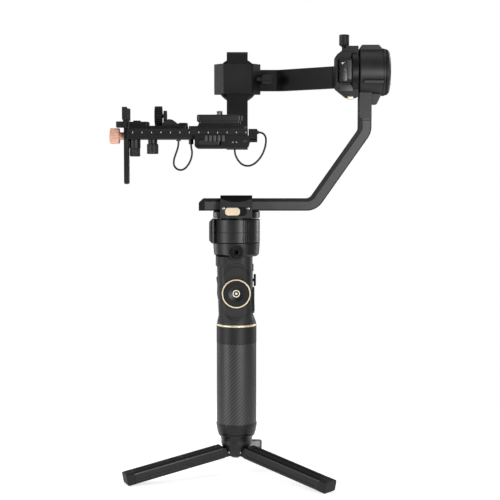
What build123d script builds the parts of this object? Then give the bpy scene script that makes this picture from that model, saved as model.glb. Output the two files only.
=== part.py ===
"""Three-axis handheld camera gimbal on a folding mini tripod, with a quick-release rail and lens support.

Frame: origin on the pan axis at the mouth of the threaded hole under the tripod hub, +Z up the handle,
-X the way the lens looks, -Y the side of the control wheel. All sizes are millimetres.
"""
import os
from math import pi, radians, tan

from build123d import *

# ---------------------------------------------------------------- driving dimensions
# Heights above the hub's underside, from the bottom of the stand to the top of the roll motor.
HUB_TOP = 26.0
END_CAP_TOP = 37.3
GRIP_TOP = 124.8
BAND_TOP = 143.0
RING_TOP = 145.3
NECK_TOP = 155.0
BROW_Z = 207.6
CONTROL_TOP = 218.7
PAN_BASE_TOP = 232.8
PAN_FACE = 258.7

# Motors: every motor is the same size but for the depth of its housing.
MOTOR_R = 25.2
MOTOR_BORE = 20.5
MOTOR_GAP = 1.1
FLANGE_T = 7.5
PAN_DEPTH = PAN_FACE - PAN_BASE_TOP
SIDE_DEPTH = 28.2
SHAFT_R = 3.95
BEARING_BORE = 4.0
BEARING_R = 7.0
BOSS_R = 9.0
STATOR_R = 16.0
MAGNET_IN = 17.0
MAGNET_OUT = 19.5
CAP_T = 4.8

# Arms: rectangular bars that slide in a clamp bolted to each rotor.
BAR_T = 13.0
BAR_W = 24.0
SLIDE_GAP = 0.3
STRAP_T = 2.8
CLAMP_L = 34.0
CLAMP_W = 53.2

# Axes
ROLL_Z = 415.5
ROLL_FACE = 130.7
TILT_FACE = 110.5
YAW_BAR_Z = PAN_FACE + MOTOR_GAP + FLANGE_T + SLIDE_GAP + BAR_T / 2
ROLL_BAR_X = ROLL_FACE - MOTOR_GAP - FLANGE_T - SLIDE_GAP - BAR_T / 2
TILT_BAR_Y = TILT_FACE - MOTOR_GAP - FLANGE_T - SLIDE_GAP - BAR_T / 2

# Grip and controls
TUBE_R = 20.2
TUBE_IN = 19.0
GRIP_R = 21.4
BAND_R = 21.6
CELL_R = 9.2
CELL_L = 65.0
WHEEL_R = 15.4
WHEEL_RIM = 1.3
WHEEL_Z = 179.6
WHEEL_FACE = -19.4
JOYSTICK_Z = 192.4
YOKE_X = 13.8
SOCKET_Z = 224.1
SOCKET_R = 7.2
THREAD_R = 2.55

# Tripod
LEG_AZIMUTHS = {"left": 201.0, "right": 321.0, "back": 81.0}
HINGE_R = 10.5
HINGE_Z = 6.5
HINGE_PIN_R = 1.5
HINGE_BORE = 1.56
TONGUE_W = 10.0
LEG_W = 17.5
LEG_SLOPE = 11.2
LEG_L = 117.0
LEG_ROOT = 6.8
FOOT_L = 9.0
LEG_BELOW = 5.0
LEG_ABOVE = 8.2

# Rail and what it carries
RAIL_X0 = -115.2
RAIL_X1 = 12.4
RAIL_Z0 = 344.0
RAIL_Z1 = 354.8
RAIL_HALF = 21.0
BASE_BAR_Z0 = 334.8
BASE_BAR_Z1 = 343.6
PLATE_TOP = 369.4
GEAR_R = 10.4
GEAR_Z = 368.9
GEAR_X0 = -87.4
GEAR_X1 = -79.6
GEAR_TEETH = 24
SCREW_X = -18.0
THUMBSCREW_X = (-109.0, -90.0)

# Cables: diameter, and each route from the cable's exit to its other end.
CORD_D = 2.1
SERVO_CORD = [(-62.0, -4.0, 342.0), (-62.0, -4.0, 338.0), (-63.2, -4.1, 333.0), (-65.3, -4.3, 327.4),
              (-66.8, -4.3, 323.0), (-67.2, -4.4, 319.3), (-66.9, -4.4, 315.9), (-64.9, -4.5, 312.9),
              (-61.7, -4.6, 311.1), (-58.0, -4.8, 311.1), (-54.7, -5.0, 312.9), (-51.8, -5.2, 316.3),
              (-49.3, -5.4, 320.7), (-47.7, -5.6, 325.8), (-47.3, -5.8, 330.8), (-48.4, -6.0, 335.0),
              (-48.4, -6.0, 338.5)]
PORT_CORD = [(22.4, 0.0, 351.5), (26.0, 0.0, 351.5), (29.2, -0.3, 350.0), (31.2, -0.6, 347.1),
             (31.9, -0.9, 343.6), (31.5, -1.3, 338.4), (29.8, -1.9, 332.0), (26.8, -2.6, 325.8),
             (22.4, -3.3, 320.2), (17.0, -3.9, 316.3), (11.4, -4.5, 315.2), (6.0, -5.0, 316.9),
             (1.7, -5.6, 321.4), (-1.0, -6.2, 326.8), (-1.8, -6.5, 331.0), (-1.8, -6.5, 334.3)]


os.makedirs("parts", exist_ok=True)


# ---------------------------------------------------------------- shape helpers
def block(x0, x1, y0, y1, z0, z1):
    """Plain box between two corners."""
    size = (x1 - x0, y1 - y0, z1 - z0)
    return Pos((x0 + x1) / 2, (y0 + y1) / 2, (z0 + z1) / 2) * Box(*size)


def rod_z(radius, z0, z1, x=0.0, y=0.0):
    """Cylinder standing along Z."""
    return Pos(x, y, (z0 + z1) / 2) * Cylinder(radius, z1 - z0)


def rod_y(radius, y0, y1, x=0.0, z=0.0):
    """Cylinder lying along Y."""
    return Pos(x, (y0 + y1) / 2, z) * Rot(90, 0, 0) * Cylinder(radius, y1 - y0)


def rod_x(radius, x0, x1, y=0.0, z=0.0):
    """Cylinder lying along X."""
    return Pos((x0 + x1) / 2, y, z) * Rot(0, 90, 0) * Cylinder(radius, x1 - x0)


def soft_block(x0, x1, y0, y1, z0, z1, radius, axis="z"):
    """Box whose four edges along one axis are rounded."""
    mid = Pos((x0 + x1) / 2, (y0 + y1) / 2, (z0 + z1) / 2)
    dx, dy, dz = x1 - x0, y1 - y0, z1 - z0
    if axis == "z":
        return mid * extrude(RectangleRounded(dx, dy, radius), dz / 2, both=True)
    if axis == "y":
        return mid * Rot(90, 0, 0) * extrude(RectangleRounded(dx, dz, radius), dy / 2, both=True)
    return mid * Rot(0, 90, 0) * extrude(RectangleRounded(dz, dy, radius), dx / 2, both=True)


def turned(points):
    """Solid of revolution about Z from (radius, height) points."""
    outline = make_face(Polyline([Vector(r, 0, z) for r, z in points], close=True))
    return revolve(outline, Axis.Z)


def side_plate(points, y0, y1):
    """Prism from (x, z) points, running along Y."""
    outline = make_face(Polyline([Vector(x, 0, z) for x, z in points], close=True))
    return Pos(0, y1, 0) * extrude(outline, y1 - y0, dir=(0, -1, 0))


def knurled(radius, length, ribs, depth=0.5):
    """Grip knob standing on the origin along Z, with a row of straight grooves round it."""
    body = Pos(0, 0, length / 2) * Cylinder(radius, length)
    body = chamfer(body.edges().filter_by(GeomType.CIRCLE), min(0.7, length / 5))
    grooves = [
        Rot(0, 0, 360 * i / ribs) * Pos(radius + 0.25, 0, length / 2) * Cylinder(0.25 + depth, length + 2)
        for i in range(ribs)
    ]
    return body - grooves


def save(name, part):
    """Writes one sub-part; a group of loose solids stays a group."""
    solids = part.solids()
    export_step(solids[0] if len(solids) == 1 else Compound(children=list(solids)), f"parts/{name}.step")


# ---------------------------------------------------------------- motors, built along +Z from the joint face
def motor_housing(radius, depth):
    """Cup with a floor and a central boss that carries the bearings and the stator."""
    shell = turned([(0, -depth), (radius - 1, -depth), (radius, 1 - depth), (radius, -0.8), (radius - 0.8, 0),
                    (MOTOR_BORE, 0), (MOTOR_BORE, 3 - depth), (BOSS_R, 3 - depth), (BOSS_R, -4),
                    (BEARING_R, -4), (BEARING_R, 3 - depth), (0, 3 - depth)])
    return shell


def motor_stator(depth):
    """Slotted iron ring with its windings, and the two ball bearings of the shaft."""
    low, high = 4 - depth, -5.0
    ring = turned([(BOSS_R, low), (STATOR_R, low), (STATOR_R, high), (BOSS_R, high)])
    slots = [
        Rot(0, 0, 30 * i) * Pos(14.4, 0, (low + high) / 2) * Box(4.2, 2.2, high - low + 2)
        for i in range(12)
    ]
    bearings = [
        turned([(BEARING_BORE, z), (BEARING_R, z), (BEARING_R, z + 4), (BEARING_BORE, z + 4)])
        for z in (-8.0, 3.0 - depth)
    ]
    return Compound(children=[(ring - slots).solid(), *[b.solid() for b in bearings]])


def motor_rotor(depth):
    """Flange with the shaft and the magnet bell that turns round the stator."""
    top = MOTOR_GAP + FLANGE_T
    flange = turned([(0, MOTOR_GAP), (MOTOR_R - 0.8, MOTOR_GAP), (MOTOR_R, MOTOR_GAP + 0.8),
                     (MOTOR_R, top - 1), (MOTOR_R - 1, top), (0, top)])
    bell = turned([(MAGNET_IN, 5 - depth), (MAGNET_OUT, 5 - depth), (MAGNET_OUT, MOTOR_GAP + 1),
                   (MAGNET_IN, MOTOR_GAP + 1)])
    return flange + rod_z(SHAFT_R, 4 - depth, MOTOR_GAP + 1) + bell


def arm_clamp():
    """Saddle on the flange: two cheeks and a strap round the sliding bar, which runs along local X."""
    base = MOTOR_GAP + FLANGE_T
    top = base + BAR_T + 2 * SLIDE_GAP + STRAP_T
    half_l, half_w = CLAMP_L / 2, CLAMP_W / 2
    outline = [(-half_w, MOTOR_GAP + 0.3), (-half_w, base + 4), (-half_w + 9, top - 1.0), (-half_w + 11, top),
               (half_w - 11, top), (half_w - 9, top - 1.0), (half_w, base + 4), (half_w, MOTOR_GAP + 0.3)]
    face = make_face(Polyline([Vector(0, y, z) for y, z in outline], close=True))
    saddle = Pos(half_l, 0, 0) * extrude(face, CLAMP_L, dir=(-1, 0, 0))
    rim = rod_z(MOTOR_R + 0.02, 0, base)
    tunnel = block(-half_l - 1, half_l + 1, -BAR_W / 2 - SLIDE_GAP, BAR_W / 2 + SLIDE_GAP,
                   base - 1, base + BAR_T + 2 * SLIDE_GAP)
    inner = block(-half_l - 1, half_l + 1, -BAR_W / 2 - SLIDE_GAP, BAR_W / 2 + SLIDE_GAP, 0, base)
    return saddle - rim - tunnel - inner


def clamp_screw_hole(side):
    """Threaded hole of the clamp knob through one cheek, along local Y."""
    z = MOTOR_GAP + FLANGE_T + SLIDE_GAP + BAR_T / 2
    y0, y1 = sorted((side * (BAR_W / 2 - 1), side * (CLAMP_W / 2 + 4)))
    return rod_y(2.56, y0, y1, 0, z)


def clamp_knob():
    """Finger knob with its screw, which enters a cheek from local -Y."""
    z = MOTOR_GAP + FLANGE_T + SLIDE_GAP + BAR_T / 2
    cheek = -CLAMP_W / 2
    head = Pos(0, cheek - 1.6, z) * Rot(90, 0, 0) * knurled(5.4, 11.7, 14, 0.45)
    neck = rod_y(3.4, cheek - 1.7, cheek - 0.6, 0, z)
    screw = rod_y(2.5, cheek - 0.7, -BAR_W / 2 - SLIDE_GAP - 0.2, 0, z)
    return head + neck + screw


# Where each motor stands: local +Z runs from the housing to the rotor, local X along the sliding bar.
PAN_AT = Pos(0, 0, PAN_FACE)
ROLL_AT = Location(Plane(origin=(ROLL_FACE, 0, ROLL_Z), x_dir=(0, 1, 0), z_dir=(-1, 0, 0)))
TILT_AT = Location(Plane(origin=(0, TILT_FACE, ROLL_Z), x_dir=(0, 0, 1), z_dir=(0, -1, 0)))


# ---------------------------------------------------------------- stand
def hinge_slots():
    """Space that the three leg tongues need in the hub, from the hinge out and down."""
    slots = []
    for azimuth in LEG_AZIMUTHS.values():
        low = block(HINGE_R, 40, -TONGUE_W / 2 - 0.2, TONGUE_W / 2 + 0.2, -5, HINGE_Z + 5.6)
        nose = rod_y(5.3, -TONGUE_W / 2 - 0.2, TONGUE_W / 2 + 0.2, HINGE_R, HINGE_Z)
        under = block(HINGE_R - 5.3, HINGE_R, -TONGUE_W / 2 - 0.2, TONGUE_W / 2 + 0.2, -5, HINGE_Z)
        slots.append(Rot(0, 0, azimuth) * (low + nose + under))
    return slots


def tripod_hub():
    """Cast hub, threaded below, with a stud that screws into the handle."""
    body = turned([(0, 0), (8.6, 0), (9.6, 1.0), (11.3, 1.8), (16.2, 13.0), (16.7, 15.0), (16.7, 19.0),
                   (17.6, 22.4), (19.6, 24.6), (19.9, 25.6), (19.4, HUB_TOP), (0, HUB_TOP)])
    stud = rod_z(4.0, HUB_TOP - 1, END_CAP_TOP - 3)
    holes = [
        Rot(0, 0, azimuth) * rod_y(HINGE_PIN_R, -7.3, 7.3, HINGE_R, HINGE_Z)
        for azimuth in LEG_AZIMUTHS.values()
    ]
    return body + stud - hinge_slots() - holes - rod_z(THREAD_R, -1, 9)


def hinge_pins():
    """Three steel pins, one through each leg tongue."""
    return Compound(children=[
        (Rot(0, 0, azimuth) * rod_y(HINGE_PIN_R, -7.3, 7.3, HINGE_R, HINGE_Z)).solid()
        for azimuth in LEG_AZIMUTHS.values()
    ])


def leg_blank(start, end, width):
    """Straight run of a leg along its own +X, from the hinge, before it is sloped down."""
    height = LEG_ABOVE + LEG_BELOW
    mid = Pos((start + end) / 2, 0, (LEG_ABOVE - LEG_BELOW) / 2)
    return mid * Rot(0, 90, 0) * extrude(RectangleRounded(height, width, 2.6), (end - start) / 2, both=True)


def place_leg(part, azimuth):
    """Slopes a leg down about its hinge and turns it to its azimuth."""
    return Rot(0, 0, azimuth) * Pos(HINGE_R, 0, HINGE_Z) * Rot(0, LEG_SLOPE, 0) * part


def leg(azimuth):
    """Leg with a hinge tongue and long grooves down its top and sides."""
    root = LEG_ROOT
    beam = leg_blank(root, LEG_L - FOOT_L, LEG_W)
    tongue = rod_y(5.0, -TONGUE_W / 2, TONGUE_W / 2)
    tongue += block(0, root + 3, -TONGUE_W / 2, TONGUE_W / 2, -5.0, 5.0)
    body = beam + tongue - rod_y(HINGE_BORE, -20, 20)
    for side in (-1, 1):
        body -= block(root + 4, LEG_L - FOOT_L - 5, side * LEG_W / 2 - 0.6, side * LEG_W / 2 + 0.6, -1.2, 0.6)
    body -= block(root + 6, LEG_L - FOOT_L - 6, -3.0, 3.0, LEG_ABOVE - 0.6, LEG_ABOVE + 1)
    return place_leg(body, azimuth)


def foot(azimuth):
    """Rubber end cap; its lower front edge is cut back where it meets the ground."""
    pad = leg_blank(LEG_L - FOOT_L, LEG_L, LEG_W + 0.6)
    nose = Pos(LEG_L + 1.2, 0, -LEG_BELOW - 1.5) * Rot(0, 45, 0) * Box(6, 40, 6)
    brow = Pos(LEG_L + 1.2, 0, LEG_ABOVE + 1.5) * Rot(0, 45, 0) * Box(5, 40, 5)
    return place_leg(pad - nose - brow, azimuth)


# ---------------------------------------------------------------- handle
def handle_end_cap():
    """Bottom cap of the handle, tapped for the hub's stud."""
    body = turned([(0, HUB_TOP), (19.6, HUB_TOP), (20.6, HUB_TOP + 1.5), (21.8, END_CAP_TOP - 3),
                   (22.0, END_CAP_TOP), (0, END_CAP_TOP)])
    return body - rod_z(4.0, HUB_TOP - 1, END_CAP_TOP - 3)


def handle_tube():
    """Aluminium tube that holds the cells; its top end is the plain band above the grip."""
    return turned([(TUBE_IN, END_CAP_TOP), (TUBE_R, END_CAP_TOP), (TUBE_R, GRIP_TOP),
                   (BAND_R - 0.5, GRIP_TOP), (BAND_R, GRIP_TOP + 0.5), (BAND_R, BAND_TOP),
                   (TUBE_IN, BAND_TOP)])


def grip_sleeve():
    """Rubber sleeve pressed over the tube."""
    return turned([(TUBE_R, END_CAP_TOP), (GRIP_R, END_CAP_TOP), (GRIP_R, GRIP_TOP), (TUBE_R, GRIP_TOP)])


def battery_cells():
    """Two round cells side by side in the handle."""
    start = (END_CAP_TOP + BAND_TOP - CELL_L) / 2
    cells = []
    for side in (-1, 1):
        can = rod_z(CELL_R, start, start + CELL_L, side * (CELL_R + 0.1))
        tip = rod_z(2.8, start + CELL_L, start + CELL_L + 1.2, side * (CELL_R + 0.1))
        cells.append((can + tip).solid())
    return Compound(children=cells)


def gold_ring():
    """Trim ring between the handle and the control section."""
    return turned([(15.0, BAND_TOP), (21.2, BAND_TOP), (21.7, BAND_TOP + 0.6), (21.7, RING_TOP - 0.6),
                   (21.2, RING_TOP), (15.0, RING_TOP)])


def control_body_solid():
    """Outside form of the control section: a round foot drawn up into a rounded square column."""
    foot_rings = Sketch() + Circle(21.2)
    waist = Plane((-0.7, 0, NECK_TOP)) * RectangleRounded(37.0, 40.0, 13.0)
    chest = Plane((-1.65, 0, BROW_Z)) * RectangleRounded(38.5, 41.6, 13.0)
    brow = Plane((-2.45, 0, BROW_Z + 1.6)) * RectangleRounded(39.6, 42.0, 13.0)
    crown = Plane((-2.45, 0, CONTROL_TOP)) * RectangleRounded(39.6, 42.0, 13.0)
    low = loft([Plane((0, 0, RING_TOP)) * foot_rings, Plane((0, 0, RING_TOP + 2.5)) * Circle(20.9)])
    neck = loft([Plane((0, 0, RING_TOP + 2.5)) * RectangleRounded(41.7, 41.7, 20.5), waist])
    return low + neck + loft([waist, chest]) + loft([chest, brow]) + loft([brow, crown])


def control_housing():
    """Hollow plastic control section with seats for the wheel, joystick, trigger, panel and button."""
    body = control_body_solid()
    inside = Pos(-1.0, 0, 0) * soft_block(-15.6, 15.6, -16.0, 16.0, RING_TOP, CONTROL_TOP - 3, 9.0)
    dish = soft_block(-15.5, 15.5, -40, WHEEL_FACE, 153.4, 212.2, 15.4, "y")
    wheel_hole = rod_y(4.06, -30, -10, 0, WHEEL_Z)
    wheel_seat = rod_y(WHEEL_R + 0.5, -30, WHEEL_FACE + 1.6, 0, WHEEL_Z)
    stick_hole = rod_x(5.0, 10, 30, 0, JOYSTICK_Z) + rod_x(8.3, 16.2, 30, 0, JOYSTICK_Z)
    panel_seat = block(16.2, 30, -11.2, 11.2, 157.4, 184.6)
    trigger_hole = block(-30, -12, -5.3, 5.3, 171.7, 196.3)
    button_hole = rod_x(4.3, 10, 30, 0, 206.0)
    boss_hole = rod_y(SOCKET_R + 1.4, -40, -14, 0, SOCKET_Z)
    body = body - inside - dish - wheel_hole - wheel_seat - stick_hole
    body = body - panel_seat - trigger_hole - button_hole
    ears = [
        block(12.8, 14.7, low, low + 1.6, JOYSTICK_Z - 1.9, JOYSTICK_Z + 1.9)
        for low in (-6.9, 5.3)
    ]
    trunnion_bore = rod_y(0.84, -8, 8, YOKE_X, JOYSTICK_Z)
    return body + ears - boss_hole - trunnion_bore


def rear_panel():
    """Display and key panel set into the thumb side of the control section."""
    plate = soft_block(16.2, 19.4, -11.0, 11.0, 157.6, 184.4, 2.5, "x")
    return plate - soft_block(19.0, 20.0, -8.2, 8.2, 169.0, 181.4, 1.2, "x")


def control_wheel():
    """Thumb wheel: a shallow black dish on a short axle."""
    back = WHEEL_FACE + 1.2
    rim = rod_y(WHEEL_R - WHEEL_RIM, WHEEL_FACE - 4.4, back, 0, WHEEL_Z)
    dish = Pos(0, WHEEL_FACE - 26.9, WHEEL_Z) * Sphere(24.0)
    axle = rod_y(4.0, back, -13.0, 0, WHEEL_Z)
    return rim - dish + axle


def wheel_ring():
    """Polished ring pressed round the wheel."""
    outer = rod_y(WHEEL_R, WHEEL_FACE - 4.8, WHEEL_FACE + 1.2, 0, WHEEL_Z)
    outer = chamfer(outer.edges().filter_by(GeomType.CIRCLE), 0.3)
    return outer - rod_y(WHEEL_R - WHEEL_RIM, -40, 0, 0, WHEEL_Z)


def joystick_yoke():
    """Inner cross piece; it tips about Y in the housing and carries the cap's upright pin."""
    ring = rod_x(4.4, 12.4, 15.2, 0, JOYSTICK_Z) + rod_y(0.8, -6.6, 6.6, YOKE_X, JOYSTICK_Z)
    pin_bore = rod_z(0.64, JOYSTICK_Z - 5, JOYSTICK_Z + 5, YOKE_X)
    return ring - rod_x(2.2, 10, 20, 0, JOYSTICK_Z) - pin_bore


def joystick_cap():
    """Thumb stick: concave cap on a thin stem, with an upright pin through the stem."""
    stem = rod_x(1.6, 10.5, 18.6, 0, JOYSTICK_Z) + rod_z(0.6, JOYSTICK_Z - 3.6, JOYSTICK_Z + 3.6, YOKE_X)
    cap = rod_x(6.6, 18.5, 21.0, 0, JOYSTICK_Z)
    cap = fillet(cap.edges().filter_by(GeomType.CIRCLE), 1.0)
    return cap + stem - Pos(29.4, 0, JOYSTICK_Z) * Sphere(9.2)


def trigger():
    """Finger trigger on the front of the control section."""
    profile = [(-20.2, 173.0), (-20.9, 178.0), (-20.7, 188.0), (-21.7, 195.2), (-20.8, 196.0), (-14.5, 196.0),
               (-14.5, 172.0), (-19.6, 172.0)]
    return side_plate(profile, -5.0, 5.0)


def power_button():
    """Round key above the joystick."""
    return rod_x(4.0, 13.2, 18.4, 0, 206.0)


def accessory_socket():
    """Toothed metal socket with a camera thread for arms and lights."""
    body = rod_y(SOCKET_R, -27.2, -17.0, 0, SOCKET_Z) - rod_y(THREAD_R, -30, -18.5, 0, SOCKET_Z)
    teeth = [
        Pos(0, -27.2, SOCKET_Z) * Rot(0, 18 * i, 0) * Pos(5.2, 0, 0) * Box(3.2, 0.8, 0.7)
        for i in range(20)
    ]
    return body - teeth


def pan_housing():
    """Pan motor housing on its tapered base, with a front nose and a ribbed rear cover."""
    base_top, base_low = PAN_BASE_TOP, CONTROL_TOP
    base = turned([(0, base_low), (22.0, base_low), (24.2, base_low + 2.2), (25.2, base_top), (0, base_top)])
    base += rod_y(SOCKET_R + 1.4, -26.4, -14.0, 0, SOCKET_Z)
    motor = PAN_AT * motor_housing(MOTOR_R, PAN_DEPTH)
    nose = soft_block(-29.2, -22.5, -15.0, 15.0, PAN_BASE_TOP, PAN_FACE, 3.0)
    corners = [
        Pos(-29.2, 0, z) * Rot(0, 45, 0) * Box(4.4, 40, 4.4)
        for z in (PAN_BASE_TOP, PAN_FACE)
    ]
    nose = nose - corners - rod_z(MOTOR_R - 2, 200, 300)
    body = base + motor + nose
    grooves = [
        Rot(0, 0, side * angle) * block(24.4, 27, -0.5, 0.5, PAN_BASE_TOP + 0.8, PAN_FACE - 0.8)
        for side in (-1, 1) for angle in (62.0, 67.0, 73.0)
    ]
    notches = [
        Rot(0, 0, side * 60.0) * block(23.6, 27, -2.4, 2.4, z - 1.2, z + 1.2)
        for side in (-1, 1) for z in (PAN_BASE_TOP + 0.6, PAN_FACE - 0.6)
    ]
    socket_seat = rod_y(SOCKET_R, -30, -17.0, 0, SOCKET_Z)
    return body - grooves - notches - socket_seat


# ---------------------------------------------------------------- pan rotor and yaw arm
def pan_clamp():
    """Saddle for the yaw arm, with the slot of the pan latch in its wheel-side cheek."""
    saddle = PAN_AT * arm_clamp() - PAN_AT * clamp_screw_hole(1)
    slot = soft_block(-12.3, 11.3, -40, -25.7, 262.6, 271.6, 4.0, "y")
    return saddle - slot


def pan_latch():
    """Sliding catch that locks the pan rotor for transport."""
    return soft_block(-11.6, 4.0, -28.3, -25.75, 263.1, 271.1, 3.2, "y")


def yaw_bar_path():
    """Centre line of the yaw arm in the XZ plane."""
    return [(-33.7, YAW_BAR_Z), (82.3, YAW_BAR_Z), (137.5, 352.5), (137.5, 366.2)]


def bent_bar(points, radii, width, thickness, start_dir, width_dir):
    """Rectangular bar swept along straight runs joined by arcs."""
    path = FilletPolyline(*[Vector(*p) for p in points], radius=radii)
    section = Plane(origin=points[0], x_dir=width_dir, z_dir=start_dir) * Rectangle(width, thickness)
    return sweep(section, path=path)


def yaw_arm_blank(y0, y1, inset_in=0.0, inset_out=0.0):
    """Slice of the yaw arm between two Y planes, its inner and outer edges drawn in."""
    thickness = BAR_T - inset_in - inset_out
    shift = (inset_out - inset_in) / 2
    line = yaw_bar_path()
    path = FilletPolyline(*[Vector(x, (y0 + y1) / 2, z) for x, z in line], radius=[14.0, 14.0])
    start = Plane(origin=(line[0][0], (y0 + y1) / 2, line[0][1]), x_dir=(0, 1, 0), z_dir=(1, 0, 0))
    section = start * Pos(0, shift, 0) * Rectangle(y1 - y0, thickness)
    return sweep(section, path=path)


def yaw_arm():
    """Bent bar that carries the roll motor behind the camera; its free end is bevelled."""
    half = BAR_W / 2
    bar = yaw_arm_blank(-half + 1.0, half)
    tip = side_plate([(-33.7, YAW_BAR_Z - 6.5), (-33.7, YAW_BAR_Z + 6.5), (-35.8, YAW_BAR_Z + 6.5),
                      (-40.2, YAW_BAR_Z + 2.2), (-40.2, YAW_BAR_Z - 6.5)], -half, half)
    return bar + tip


def yaw_arm_cover():
    """Thin face cover on the wheel side of the yaw arm; the arm's dark edges show beside it."""
    half = BAR_W / 2
    return yaw_arm_blank(-half, -half + 1.0, 3.2, 1.2)


def roll_housing():
    """Roll motor housing with its neck onto the yaw arm, a top pad, a cable lug and a side strip."""
    motor = ROLL_AT * motor_housing(MOTOR_R, SIDE_DEPTH)
    x0, x1 = ROLL_FACE, ROLL_FACE + SIDE_DEPTH
    void = rod_x(MOTOR_BORE + 0.1, x0 - 1, x1 - 2, 0, ROLL_Z)
    neck = block(131.0, 144.0, -BAR_W / 2, BAR_W / 2, 366.2, 400)
    lug = side_plate([(139.0, 398.0), (156.0, 396.0), (154.0, 390.4), (149.8, 381.3), (139.0, 381.3)],
                     -9.0, 9.0)
    pad = side_plate([(132.0, 436.0), (131.6, 440.6), (133.8, 443.9), (151.6, 443.9), (155.2, 440.0),
                      (155.2, 436.0)], -10.0, 10.0)
    strip = block(134.5, x1 - 3.6, -26.2, -22.0, 402.4, 405.0)
    seam = block(x1 - 3.6, x1 - 3.0, -30, 30, 380, 450) - rod_x(MOTOR_R - 0.5, x1 - 5, x1, 0, ROLL_Z)
    return motor + (neck + lug + pad + strip - void) - seam


def domed_cap():
    """End cap closing the back of a side motor, with a rounded rim; built along local -Z."""
    return turned([(0, -SIDE_DEPTH), (MOTOR_R - 0.5, -SIDE_DEPTH), (MOTOR_R - 1.2, -SIDE_DEPTH - 2.4),
                   (MOTOR_R - 3.4, -SIDE_DEPTH - 4.2), (MOTOR_R - 6.5, -SIDE_DEPTH - CAP_T),
                   (0, -SIDE_DEPTH - CAP_T)])


# ---------------------------------------------------------------- roll rotor and roll arm
def roll_clamp():
    """Saddle for the roll arm; its lower cheek holds the roll latch, its upper cheek the knob."""
    saddle = ROLL_AT * arm_clamp() - ROLL_AT * clamp_screw_hole(-1)
    panel = block(108.5, 127.0, -CLAMP_L / 2 - 1, -CLAMP_L / 2 + 0.8, 429.6, 436.5)
    slot = soft_block(117.4, 127.2, -10.2, 4.2, 380.0, 389.8, 1.0, "z")
    return saddle - panel - slot


def roll_latch():
    """Sliding catch that locks the roll rotor."""
    return soft_block(118.6, 124.8, -9.8, -1.0, 386.6, 389.75, 1.0, "z")


def roll_arm():
    """Flat bar that runs sideways from the roll motor, then turns in to the tilt motor."""
    points = [(ROLL_BAR_X, -22.0, ROLL_Z), (ROLL_BAR_X, 66.0, ROLL_Z), (50.0, 118.0, ROLL_Z),
              (23.0, 118.0, ROLL_Z)]
    bar = bent_bar(points, [12.0, 14.0], BAR_W, BAR_T, (0, 1, 0), (0, 0, 1))
    return bar - rod_y(MOTOR_R, 100, 150, 0, ROLL_Z)


def tilt_housing():
    """Tilt motor housing."""
    return TILT_AT * motor_housing(MOTOR_R, SIDE_DEPTH)


# ---------------------------------------------------------------- tilt rotor, tilt arm and rail clamp
def tilt_arm():
    """L-shaped bar: upright beside the camera, base bar under the rail."""
    half_t = BAR_T / 2
    y0, y1 = TILT_BAR_Y - half_t, TILT_BAR_Y + half_t
    top = 446.0
    outline = [(-16.0, BASE_BAR_Z0), (y1 - 5, BASE_BAR_Z0), (y1, BASE_BAR_Z0 + 5), (y1, top - 4),
               (y1 - 4, top), (y0 + 3, top), (y0, top - 3), (y0, BASE_BAR_Z1 + 8), (y0 - 8, BASE_BAR_Z1),
               (-16.0, BASE_BAR_Z1)]
    face = make_face(Polyline([Vector(0, y, z) for y, z in outline], close=True))
    return Pos(BAR_W / 2, 0, 0) * extrude(face, BAR_W, dir=(-1, 0, 0))


def rail_clamp():
    """Clamp that the rail slides in: a floor, two jaws and the cable port behind the rail."""
    body = side_plate([(-43.7, 336.0), (-42.0, 334.3), (4.0, 334.3), (13.0, 336.2), (14.6, 341.0),
                       (14.6, 347.2), (-43.7, 347.2)], -28.5, 28.5)
    rail_way = block(-60, 20, -RAIL_HALF - 0.3, RAIL_HALF + 0.3, RAIL_Z0 - 0.3, 360)
    bar_way = block(-BAR_W / 2, BAR_W / 2, -16.0, 60, BASE_BAR_Z0, BASE_BAR_Z1)
    lever_seat = block(-40.0, -15.6, -29, -24.9, 337.0, 342.6)
    front = block(-43.0, -40.5, -29.5, -28.2, 335.8, 347.2)
    tongue = block(12.0, 22.4, -8.0, 8.0, 341.0, 343.3)
    port = soft_block(13.0, 22.4, -8.0, 8.0, 343.3, 355.0, 1.6, "x")
    return body - rail_way - bar_way - lever_seat + front + tongue + port


def clamp_lever():
    """Locking lever in the wheel-side jaw; it swings out about an upright pin."""
    arm = side_plate([(-39.4, 337.3), (-39.4, 342.3), (-34.0, 342.3), (-32.6, 341.2), (-19.5, 341.2),
                      (-19.5, 337.3)], -29.4, -25.2)
    hub = rod_z(2.1, 337.3, 341.2, -19.0, -27.3)
    return arm + hub


# ---------------------------------------------------------------- rail, quick release and lens support
def camera_rail():
    """Grooved rail with a long screw slot; small bosses under it hold the servo's cable."""
    body = side_plate([(RAIL_X0, RAIL_Z0), (RAIL_X0, RAIL_Z1), (RAIL_X1, RAIL_Z1), (RAIL_X1, RAIL_Z0)],
                      -RAIL_HALF, RAIL_HALF)
    for side in (-1, 1):
        y0, y1 = sorted((side * (RAIL_HALF - 1.0), side * (RAIL_HALF + 1.0)))
        body -= block(RAIL_X0 - 1, RAIL_X1 + 1, y0, y1, 348.9, 352.6)
    body -= block(-102.0, -6.0, -3.4, 3.4, RAIL_Z0 - 1, RAIL_Z1 + 1)
    body -= rod_x(2.0, RAIL_X0 - 1, RAIL_X0 + 3.4, 0, 347.5)
    body -= rod_z(2.05, RAIL_Z0 - 1, RAIL_Z1 + 1, THUMBSCREW_X[0])
    boss = rod_z(2.4, RAIL_Z0 - 2.0, RAIL_Z0, SERVO_CORD[0][0], SERVO_CORD[0][1])
    plug = rod_z(2.6, RAIL_Z0 - 5.5, RAIL_Z0, SERVO_CORD[-1][0], SERVO_CORD[-1][1])
    return body + boss + plug


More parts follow.
